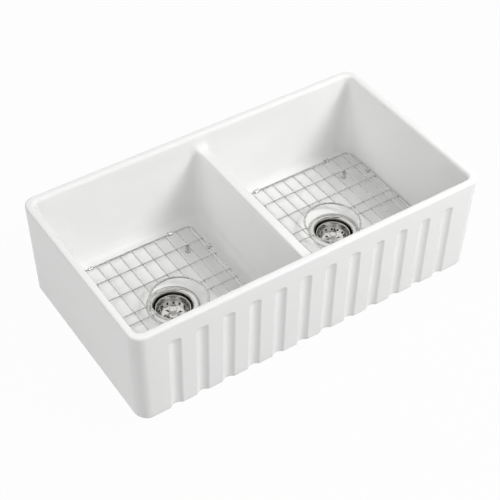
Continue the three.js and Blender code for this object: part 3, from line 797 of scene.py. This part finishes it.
def turned_piece(name, profile, centre, sides=TURNED_SIDES, merge=MERGE):
    return rolled(name, ring_rows(profile, centre, sides), merge)


def plain_ring(name, node, bore, bulge, soften):
    """A flat ring that fills its node's box, with its outer edge pressed round."""
    centre, radius, _, foot, top = measured(node)
    profile = softened([(bore, foot), (radius - bulge, foot), (radius, (foot + top) / 2),
                        (radius - bulge, top), (bore, top)], soften)
    return turned_piece(name, profile, centre)


def matt_material(name, first, second, scale, roughness, bump_distance, bump_scale):
    """A dull material whose colour drifts between two tones, with a fine grain."""
    material, line = new_material(name)
    drift = noise(line, scale, 4, 0.6)
    grain = noise(line, bump_scale, 2)
    return coated(material, line, {
        "Base Color": mixed_colour(line, drift, first, second),
        "Roughness": roughness + 0.12 * grain,
        "Normal": bumped(line, grain, bump_distance, 0.5),
    })


putty = matt_material("sealing_putty", (0.70, 0.68, 0.62, 1), (0.78, 0.76, 0.71, 1), 60, 0.65, 0.0004, 260)
black_rubber = matt_material("black_rubber", (0.018, 0.018, 0.019, 1), (0.035, 0.035, 0.036, 1), 120, 0.5,
                             0.0001, 900)
fibre = matt_material("pressed_fibre", (0.36, 0.27, 0.17, 1), (0.47, 0.37, 0.24, 1), 180, 0.75, 0.0003, 700)

for side in SIDES:
    for name, node, material, slot, bore, bulge, soften in (
        ("putty_bed", "flange_seal", putty, "putty", DRAIN_BORE, 0.3, 0.3),
        ("rubber_gasket", "drain_gasket", black_rubber, "black_rubber", BODY_BORE, 0.5, 0.5),
        ("fibre_washer", "friction_washer", fibre, "fibre", BODY_BORE, 0.1, 0.25),
    ):
        ring = plain_ring(f"{side}_{name}", f"{side}_{node}", bore, bulge, soften)
        dressed(ring, material, "sink", f"{side}_{node}")

# -------------------- locknuts
# A cast zinc ring nut with eight lugs, turned up by a spud wrench on the body's thread.
# The casting is dull, a little pitted, and its lugs have drafted, rounded flanks.

NUT_LUGS = 8
NUT_LUG_DEPTH = 5
NUT_LUG_START = 0.56  # of the pitch of the lugs
NUT_LUG_FLANK = 0.08
NUT_CHAMFER = 1.2
NUT_STEPS = 28  # to each lug


def locknut(side):
    centre, crest, _, foot, head = measured(f"{side}_locknut")

    def lugged(angle):
        share = (angle / (2 * math.pi) * NUT_LUGS) % 1
        rise = held((share - NUT_LUG_START) / NUT_LUG_FLANK) * held((1 - share) / NUT_LUG_FLANK)
        rise = rise * rise * (3 - 2 * rise)
        return crest - NUT_LUG_DEPTH * (1 - rise)

    def outline(z, inset):
        return [turned_point(centre, lugged(angle) - inset, angle, z)
                for angle in full_turn(NUT_STEPS * NUT_LUGS)]

    def bore(z, radius):
        return [turned_point(centre, radius, angle, z) for angle in full_turn(NUT_STEPS * NUT_LUGS)]

    edge = [(NUT_CHAMFER * (1 - math.cos(t)), NUT_CHAMFER * (1 - math.sin(t))) for t in quarter(4)]
    return rolled(f"{side}_lugged_nut", (
        [bore(foot, BODY_BORE + NUT_CHAMFER), outline(foot, 3 * NUT_CHAMFER)]
        + [outline(foot + rise, inset) for rise, inset in edge]
        + [outline(head - drop, inset) for drop, inset in edge[::-1]]
        + [outline(head, 3 * NUT_CHAMFER), bore(head, BODY_BORE + NUT_CHAMFER)]
        + [bore(head - NUT_CHAMFER, BODY_BORE), bore(foot + NUT_CHAMFER, BODY_BORE)]))


def cast_metal():
    material, line = new_material("cast_zinc")
    patches = noise(line, 45, 5, 0.65)
    pits = noise(line, 420, 3)
    return coated(material, line, {
        "Base Color": mixed_colour(line, patches, (0.42, 0.42, 0.41, 1), (0.58, 0.58, 0.56, 1)),
        "Metallic": 0.9,
        "Roughness": 0.38 + 0.2 * patches,
        "Normal": bumped(line, pits, 0.0003, 0.4),
    })


cast_zinc = cast_metal()
for side in SIDES:
    dressed(locknut(side), cast_zinc, "sink", f"{side}_locknut")

# -------------------- baskets
# Pressed from thin stainless sheet: a rolled rim, a sloping wall and a flat floor, all
# punched for the water. The holes are made by instancing a punch and cutting it away.

BASKET_RIM_RADIUS = 38.5
BASKET_DEPTH = 22
BASKET_FLOOR_RADIUS = 25
BASKET_WAIST = 0.45  # of the depth, where the wall turns steeper
BASKET_ROLL = 1.2
BASKET_SIDES = 112
STEM_RADIUS = 3
STEM_HOLE = STEM_RADIUS + 0.3  # of all that slips over the stem
HOLE_RADIUS = 2.3
PUNCH_LENGTH = 9
WALL_HOLES = 14
WALL_HOLE_RISE = 5.4
WALL_HOLE_TILT = math.radians(-50)
WALL_HOLE_CIRCLE = 29.25
FLOOR_HOLES = 7
FLOOR_HOLE_CIRCLE = 17


def new_tree(name, inputs):
    """A geometry node tree: its named inputs, and a line to start from."""
    tree = bpy.data.node_groups.new(name, "GeometryNodeTree")
    tree.interface.new_socket(name="Geometry", in_out="OUTPUT", socket_type="NodeSocketGeometry")
    for label, kind in inputs.items():
        tree.interface.new_socket(name=label, in_out="INPUT", socket_type=f"NodeSocket{kind}")
    source = tree.nodes.new("NodeGroupInput")
    return {socket.name: Line(tree, socket) for socket in source.outputs if socket.name}, Line(tree)


def metal_shape(line, shape, metal):
    """Makes instances real, gives them their metal and hands them out of the tree."""
    real = line.node("GeometryNodeRealizeInstances", {0: shape})
    clad = line.node("GeometryNodeSetMaterial", {"Geometry": real, "Material": metal})
    line.node("NodeGroupOutput", {0: clad})
    return line.tree


def punch_tree():
    """Punches round a circle: how many, where, how tilted and how large."""
    given, line = new_tree("punches_round_a_circle", {
        "Holes": "Int", "Circle radius": "Float", "Height": "Float", "Start angle": "Float",
        "Tilt": "Float", "Hole radius": "Float", "Punch length": "Float", "Centre": "Vector",
        "Metal": "Material",
    })
    circle = line.node("GeometryNodeMeshCircle",
                       {"Vertices": given["Holes"], "Radius": given["Circle radius"]})
    place = line.node("GeometryNodeInputPosition")
    flat = line.node("ShaderNodeVectorMath", {0: place}, operation="NORMALIZE")
    outward = line.node("ShaderNodeVectorMath", {0: flat, "Scale": line.maths("SINE", given["Tilt"])},
                        operation="SCALE")
    upward = line.node("ShaderNodeCombineXYZ", {2: line.maths("COSINE", given["Tilt"])})
    axis = line.node("ShaderNodeVectorMath", {0: outward, 1: upward}, operation="ADD")
    turn = line.node("FunctionNodeAlignRotationToVector", {"Vector": axis}, axis="Z")
    punch = line.node("GeometryNodeMeshCylinder", {"Vertices": 20, "Radius": given["Hole radius"],
                                                   "Depth": given["Punch length"]})
    ring = line.node("GeometryNodeInstanceOnPoints", {"Points": circle, "Instance": punch, "Rotation": turn})
    lift = line.node("ShaderNodeCombineXYZ", {2: given["Height"]})
    moved = line.node("GeometryNodeTransform", {
        "Geometry": ring,
        "Rotation": line.node("ShaderNodeCombineXYZ", {2: given["Start angle"]}),
        "Translation": line.node("ShaderNodeVectorMath", {0: given["Centre"], 1: lift}, operation="ADD"),
    })
    return metal_shape(line, moved, given["Metal"])


def applied(piece, modifier):
    """Keeps what a modifier makes of a piece as its plain mesh."""
    bpy.context.view_layer.update()
    seen = piece.evaluated_get(bpy.context.evaluated_depsgraph_get())
    made = bpy.data.meshes.new_from_object(seen)
    piece.modifiers.remove(modifier)
    piece.data = made
    return piece


def grown(name, tree, values, base=None):
    """Runs a geometry node tree on a base mesh and returns the result as a plain mesh object."""
    piece = linked(name, base or bpy.data.meshes.new(name))
    modifier = piece.modifiers.new("growth", "NODES")
    modifier.node_group = tree
    for item in tree.interface.items_tree:
        if item.name in values:
            modifier[item.identifier] = values[item.name]
    return applied(piece, modifier)


def cut_away(piece, cutter):
    """Cuts one mesh out of another and deletes the cutter."""
    modifier = piece.modifiers.new("cut", "BOOLEAN")
    modifier.operation = "DIFFERENCE"
    modifier.solver = "EXACT"
    modifier.object = cutter
    applied(piece, modifier)
    bpy.data.objects.remove(cutter)


punches = punch_tree()


def basket(side):
    centre = drain_centre(side)
    rim = BASKET_RIM_RADIUS
    floor = BASKET_FLOOR
    top = floor + BASKET_DEPTH
    waist = floor + BASKET_DEPTH * BASKET_WAIST
    roll = [(rim - BASKET_ROLL + BASKET_ROLL * math.cos(a), top - BASKET_ROLL + BASKET_ROLL * math.sin(a))
            for a in (math.radians(20 * k - 80) for k in range(13))]
    outside = softened_inside([
        (STEM_HOLE, floor - BASKET_SHEET), (BASKET_FLOOR_RADIUS + 0.4, floor - BASKET_SHEET),
        (rim - 5 + BASKET_SHEET, waist - 0.4), (rim - 1.6, top - 2.2),
    ], 2.4)
    inside = softened_inside([
        (rim - 2.4, top - 1.4), (rim - 5, waist), (BASKET_FLOOR_RADIUS, floor), (STEM_HOLE, floor),
    ], 2.4)
    profile = [(STEM_HOLE, floor - BASKET_SHEET)] + outside + roll + inside + [(STEM_HOLE, floor)]
    piece = turned_piece(f"{side}_pierced_basket", profile, centre, BASKET_SIDES)
    for holes, circle, height, tilt, start in (
        (WALL_HOLES, WALL_HOLE_CIRCLE, floor + WALL_HOLE_RISE, WALL_HOLE_TILT, math.pi / (2 * WALL_HOLES)),
        (FLOOR_HOLES, FLOOR_HOLE_CIRCLE, floor - BASKET_SHEET / 2, 0.0, 0.0),
    ):
        cut_away(piece, grown(f"{side}_punches", punches, {
            "Holes": holes, "Circle radius": circle * MM, "Height": height * MM, "Tilt": tilt,
            "Start angle": start, "Hole radius": HOLE_RADIUS * MM, "Punch length": PUNCH_LENGTH * MM,
            "Centre": tuple(MM * value for value in centre), "Metal": steel[side],
        }))
    return tidied(piece)


for side in SIDES:
    dressed(basket(side), steel[side], f"{side}_basket_set", f"{side}_basket")

# -------------------- knobs with their stems
# The basket is lifted by a turned knob riveted to its floor. Its stem goes on down
# through the basket's floor, carries the stopper and ends in the tip.

KNOB_RADIUS = 8.5
KNOB_FOOT_RADIUS = 10.5
KNOB_NECK_RADIUS = 4
AXIS = 0.01  # radius of a closed end, which is then merged to a point
AXIS_MERGE = 0.00003  # metres


def knob(side):
    centre = drain_centre(side)
    stem_end, top = [z - centre[2] for z in measured(f"{side}_basket_knob")[3:]]
    foot = BASKET_FLOOR + SLIP
    profile = softened([
        (AXIS, stem_end), (STEM_RADIUS, stem_end), (STEM_RADIUS, foot), (KNOB_FOOT_RADIUS, foot),
        (KNOB_FOOT_RADIUS, foot + 1.4), (5.6, foot + 3.6), (KNOB_NECK_RADIUS, foot + 7),
        (KNOB_NECK_RADIUS, top - 6.9), (7.5, top - 5.4), (KNOB_RADIUS, top - 4.2),
        (KNOB_RADIUS, top - 1.8), (6.7, top - 0.4), (AXIS, top),
    ], 1.3)
    return turned_piece(f"{side}_turned_knob", profile, centre, 72, AXIS_MERGE)


for side in SIDES:
    dressed(knob(side), steel[side], f"{side}_basket_set", f"{side}_basket_knob")

# -------------------- stoppers and tips
# Under each basket a black rubber disc closes on the cone of the body when the basket is
# dropped home. A grey metal tip on the stem's end finds the eye of the cross bars.

STOPPER_BEVEL = 2.4
GROOVE_DEPTH = 0.5


def stopper(side):
    _, _, radius, foot, top = measured(f"{side}_stopper")
    profile = softened([
        (STEM_HOLE, foot), (16, foot), (17, foot + GROOVE_DEPTH), (18, foot + GROOVE_DEPTH), (19, foot),
        (radius - STOPPER_BEVEL, foot), (radius, foot + STOPPER_BEVEL), (radius, top), (STEM_HOLE, top),
    ], 0.5)
    return turned_piece(f"{side}_rubber_stopper", profile, (*drain_centre(side)[:2], 0), 96)


def stem_tip(side):
    _, _, radius, foot, top = measured(f"{side}_stem_tip")
    stem_end = measured(f"{side}_basket_knob")[3] - SLIP
    profile = softened([
        (AXIS, foot), (radius - 2.2, foot), (radius, foot + 3), (radius, top), (STEM_HOLE, top),
        (STEM_HOLE, stem_end), (AXIS, stem_end),
    ], 0.6)
    return turned_piece(f"{side}_stem_peg", profile, (*drain_centre(side)[:2], 0), 64, AXIS_MERGE)


for side in SIDES:
    dressed(stopper(side), black_rubber, f"{side}_basket_set", f"{side}_stopper")
    dressed(stem_tip(side), cast_zinc, f"{side}_basket_set", f"{side}_stem_tip")

# -------------------- bottom grids
# Electropolished stainless: a rod bent round the bowl, a ring round the drain and thinner
# wires laid across, sunk a little into each other where they cross. Four studs take the feet.

GRID_CORNER = 14
ROD_RADIUS = 2.2
WIRE_RADIUS = 1.3
STUD_RADIUS = 2
STUD_LENGTH = 10
WELD_SINK = 0.3
RING_RADIUS = 62.5
RING_SETBACK = 136.5
RING_STEPS = 72
CROSS_WIRE_PITCH = 28.3
CROSS_WIRE_FIRST = 9
CROSS_WIRES = 11
LONG_WIRE_ROWS = (13.5, 70, 124.5)
LONG_WIRE_LEVEL = ROD_RADIUS + WIRE_RADIUS - WELD_SINK
CROSS_WIRE_LEVEL = LONG_WIRE_LEVEL - 2 * WIRE_RADIUS + WELD_SINK


def rod_tree():
    """Round rod of one thickness along every edge of a path mesh."""
    given, line = new_tree("rods_along_paths", {
        "Paths": "Geometry", "Rod radius": "Float", "Sides": "Int", "Metal": "Material",
    })
    paths = line.node("GeometryNodeMeshToCurve", {"Mesh": given["Paths"]})
    section = line.node("GeometryNodeCurvePrimitiveCircle",
                        {"Resolution": given["Sides"], "Radius": given["Rod radius"]}, mode="RADIUS")
    return metal_shape(line, line.node("GeometryNodeCurveToMesh", {
        "Curve": paths, "Profile Curve": section, "Fill Caps": True}), given["Metal"])


def wire_steel():
    material, line = new_material("electropolished_wire")
    streaks = noise(line, 160, 3)
    grain = noise(line, 1200, 1)
    return coated(material, line, {
        "Base Color": mixed_colour(line, streaks, (0.56, 0.56, 0.55, 1), (0.68, 0.68, 0.67, 1)),
        "Metallic": 1.0,
        "Roughness": 0.20 + 0.14 * streaks,
        "Normal": bumped(line, grain, 0.00003, 0.3),
    })


bright_wire = wire_steel()
rods = rod_tree()


def path_mesh(name, paths):
    """Edges along each path of points in millimetres; a closed path repeats its first point."""
    points, edges = [], []
    for path in paths:
        closed = path[0] == path[-1]
        kept = path[:-1] if closed else path
        start = len(points)
        points += [tuple(MM * value for value in point) for point in kept]
        edges += [(start + k, start + k + 1) for k in range(len(kept) - 1)]
        if closed:
            edges.append((start + len(kept) - 1, start))
    mesh = bpy.data.meshes.new(name)
    mesh.from_pydata(points, edges, [])
    return mesh


def spans(off, low, high, middle):
    """Stretches of a wire that lies so far off the drain ring's middle: it stops at the ring."""
    if abs(off) >= RING_RADIUS:
        return [(low, high)]
    stop = math.sqrt(RING_RADIUS ** 2 - off ** 2)
    return [(low, middle - stop), (middle + stop, high)]


def grid_paths(side):
    """Paths of the frame with the drain ring, of the wires and of the studs."""
    (middle_x, middle_y, _), half_x, half_y, _, top = measured(f"{side}_grid")
    half_x, half_y = half_x - ROD_RADIUS, half_y - ROD_RADIUS
    inward = 1 if side == "left" else -1
    level = top - LONG_WIRE_LEVEL - WIRE_RADIUS
    cross_z, long_z = level + CROSS_WIRE_LEVEL, level + LONG_WIRE_LEVEL
    lap = ROD_RADIUS - WELD_SINK
    ring_x = middle_x + inward * (half_x - RING_SETBACK)

    frame = []
    for corner, (sx, sy) in enumerate(((1, -1), (1, 1), (-1, 1), (-1, -1))):
        bend = (middle_x + sx * (half_x - GRID_CORNER), middle_y + sy * (half_y - GRID_CORNER))
        frame += [turned_point(bend, GRID_CORNER, angle + math.radians(-90 + 90 * corner), level)
                  for angle in quarter(10)]
    ring = [turned_point((ring_x, middle_y), RING_RADIUS, angle, level) for angle in full_turn(RING_STEPS)]

    cross_xs = [middle_x + inward * (half_x - CROSS_WIRE_FIRST - k * CROSS_WIRE_PITCH)
                for k in range(CROSS_WIRES)]
    long_ys = [middle_y + sign * row for row in LONG_WIRE_ROWS for sign in (-1, 1)]
    wires = []
    for x in cross_xs:
        wires += [[(x, start, cross_z), (x, end, cross_z)] for start, end in
                  spans(x - ring_x, middle_y - half_y, middle_y + half_y, middle_y)]
    for y in long_ys:
        wires += [[(start, y, long_z), (end, y, long_z)] for start, end in
                  spans(y - middle_y, middle_x - half_x - lap, middle_x + half_x + lap, ring_x)]
    studs = [[(x, y, cross_z - STUD_LENGTH), (x, y, cross_z)] for x in (cross_xs[1], cross_xs[-2])
             for y in (middle_y - LONG_WIRE_ROWS[-1], middle_y + LONG_WIRE_ROWS[-1])]
    return [frame + frame[:1], ring + ring[:1]], wires, studs


def grid(side):
    frame, wires, studs = grid_paths(side)
    whole = bmesh.new()
    for name, paths, radius, sides in (
        ("frame", frame, ROD_RADIUS, 16),
        ("wires", wires, WIRE_RADIUS, 12),
        ("studs", studs, STUD_RADIUS, 12),
    ):
        part = grown(f"{side}_{name}", rods, {
            "Rod radius": radius * MM, "Sides": sides, "Metal": bright_wire,
        }, path_mesh(f"{side}_{name}_paths", paths))
        whole.from_mesh(part.data)
        bpy.data.objects.remove(part)
    for face in whole.faces:
        face.smooth = True
    mesh = bpy.data.meshes.new(f"{side}_welded_grid")
    whole.to_mesh(mesh)
    whole.free()
    return linked(f"{side}_welded_grid", mesh)


for side in SIDES:
    dressed(grid(side), bright_wire, f"{side}_grid_set", f"{side}_grid")

# -------------------- rubber feet and bumpers
# Moulded translucent silicone. A foot is a tapered plug pushed up over a stud, and a bumper
# is a short sleeve on the frame rod that keeps the steel off the glazed wall.

SILICONE_SIDES = 40
STUD_BORE = STUD_RADIUS + 0.15
SLEEVE_BORE = ROD_RADIUS + 0.1


def silicone_material():
    material, line = new_material("translucent_silicone")
    cloud = noise(line, 220, 3)
    return coated(material, line, {
        "Base Color": mixed_colour(line, cloud, (0.88, 0.90, 0.89, 1), (0.94, 0.96, 0.95, 1)),
        "Roughness": 0.15 + 0.10 * cloud,
        "Transmission Weight": 0.9,
        "IOR": 1.41,
        "Normal": bumped(line, cloud, 0.0002, 0.3),
    })


silicone = silicone_material()


def foot(name, node):
    centre, radius, _, sole, top = measured(node)
    neck = radius - 1.5
    socket = sole + 1.2
    profile = softened([
        (AXIS, sole), (radius - 1, sole), (radius, sole + 1.5), (radius - 0.3, sole + 3),
        (neck + 0.1, top - 2), (neck, top), (STUD_BORE, top), (STUD_BORE, socket), (AXIS, socket),
    ], 0.8)
    return turned_piece(name, profile, centre, SILICONE_SIDES, AXIS_MERGE)


def bumper(name, node):
    low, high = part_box(node)
    size = (high - low) / MM
    middle = (high + low) / 2 / MM
    half = max(size.x, size.y) / 2
    radius = size.z / 2
    profile = softened([
        (SLEEVE_BORE, -half), (radius - 1.2, -half), (radius, -half + 2), (radius, half - 2),
        (radius - 1.2, half), (SLEEVE_BORE, half),
    ], 1.2)
    turn = Matrix.Rotation(math.pi / 2, 3, "Y" if size.x > size.y else "X")
    rows = [[middle + turn @ Vector(point) for point in row]
            for row in ring_rows(profile, (0, 0, 0), SILICONE_SIDES)]
    return rolled(name, rows, AXIS_MERGE)


for side in SIDES:
    for end in ("inner", "outer"):
        for row in ("front", "back"):
            for make, shown, kind, place in (
                (foot, "silicone_foot", "foot", f"{end}_{row}"),
                (bumper, "sleeve", "bumper", f"{end}_side_{row}"),
                (bumper, "sleeve", "bumper", f"{row}_side_{end}"),
            ):
                node = f"{side}_{kind}_{place}"
                piece = make(f"{side}_{shown}_{place}", node)
                dressed(piece, silicone, f"{side}_grid_set", node)

# -------------------- floor, lamps and world
# A white floor with a faint shadow. The main soft lamp stands high at the right front, so
# that the right flank of each flute is dark, and weaker ones fill from the other sides.

FLOOR_GAP = 1
FLOOR_HALF = 12000
FLOOR_GREY = (0.50, 0.50, 0.50, 1)
FLOOR_WHITENESS = 0.97  # share of the floor that shines white where it is seen
SKY_LIGHT = 0.20
WHITE = (1, 1, 1, 1)


def seen_directly(line):
    """1 for rays from the camera, from a reflection or through glass, otherwise 0."""
    camera_ray = line.node("ShaderNodeLightPath", output="Is Camera Ray")
    return (camera_ray + camera_ray.beside("Is Glossy Ray")
            + camera_ray.beside("Is Transmission Ray")).clamped()


def floor_material():
    material, line = new_material("white_floor")
    diffuse = line.node("ShaderNodeBsdfDiffuse", {"Color": FLOOR_GREY})
    white = line.node("ShaderNodeEmission", {"Color": WHITE, "Strength": 1.0})
    share = seen_directly(line) * FLOOR_WHITENESS
    shader = line.node("ShaderNodeMixShader", {0: share, 1: diffuse, 2: white})
    line.node("ShaderNodeOutputMaterial", {"Surface": shader})
    return material


floor_level = cad_bounds[0][2] / MM - FLOOR_GAP
studio_floor = new_piece("studio_floor", [
    (x * FLOOR_HALF, y * FLOOR_HALF, floor_level) for x, y in ((-1, -1), (1, -1), (1, 1), (-1, 1))
], [(0, 1, 2, 3)])
studio_floor.data.materials.append(floor_material())

world = bpy.data.worlds.new("soft_studio")
bpy.context.scene.world = world
sky = emptied(world)
direct = seen_directly(sky)
background = sky.node("ShaderNodeBackground", {"Color": WHITE, "Strength": direct + (1 - direct) * SKY_LIGHT})
sky.node("ShaderNodeOutputWorld", {"Surface": background})


def softbox(name, place, target, width, height, power, mirrored=True):
    """A rectangular lamp aimed at a point, which shows in reflections if it is mirrored."""
    lamp = bpy.data.lights.new(name, "AREA")
    lamp.shape = "RECTANGLE"
    lamp.size = width
    lamp.size_y = height
    lamp.energy = power
    holder = linked(name, lamp)
    aim = Vector(target) - Vector(place)
    holder.matrix_world = Matrix.Translation(place) @ aim.to_track_quat("-Z", "Y").to_matrix().to_4x4()
    holder.visible_glossy = mirrored


softbox("right_high", (1.7, -1.7, 2.5), (0, 0, 0.1), 1.2, 1.2, 68, mirrored=False)
softbox("front_high", (0.5, -1.7, 2.8), (0, 0.1, 0.1), 1.8, 1.2, 19)
softbox("right_low", (3.2, -1.7, 1.9), (0, 0, 0.1), 1.0, 1.0, 8, mirrored=False)
softbox("left_front", (-2.6, -1.8, 1.6), (0, 0, 0.1), 1.8, 1.6, 16, mirrored=False)
softbox("left_back", (-2.6, 0.6, 2.0), (0, 0, 0.1), 1.8, 1.6, 21, mirrored=False)
softbox("behind", (0.5, 3.0, 0.8), (0, 0, 0.1), 1.8, 1.4, 12, mirrored=False)

FLAG_RADIUS = 3300
FLAG_SPAN = (-75, 50)  # degrees from -Y, growing towards +X
FLAG_RISE = (8, 66)  # degrees above the floor


def black_flag():
    """A curved black cloth round the front, which only reflections show."""
    rows = []
    for rise in shares(8):
        lift = math.radians(blend(*FLAG_RISE, rise))
        rows.append([turned_point((0, 0), FLAG_RADIUS * math.cos(lift), turn - math.pi / 2,
                                  FLAG_RADIUS * math.sin(lift))
                     for turn in (math.radians(blend(*FLAG_SPAN, share)) for share in shares(16))])
    points, faces = [], []
    add_patch(points, faces, rows)
    flag = new_piece("black_flag", points, faces)
    flag.data.materials.append(matt_material("black_cloth", (0.02, 0.02, 0.02, 1), (0.04, 0.04, 0.04, 1), 8,
                                             0.8, 0.001, 300))
    flag.visible_camera = False
    flag.visible_diffuse = False
    flag.visible_transmission = False
    flag.visible_shadow = False


black_flag()

scene = bpy.context.scene
scene.view_settings.view_transform = "Standard"

bpy.context.view_layer.update()
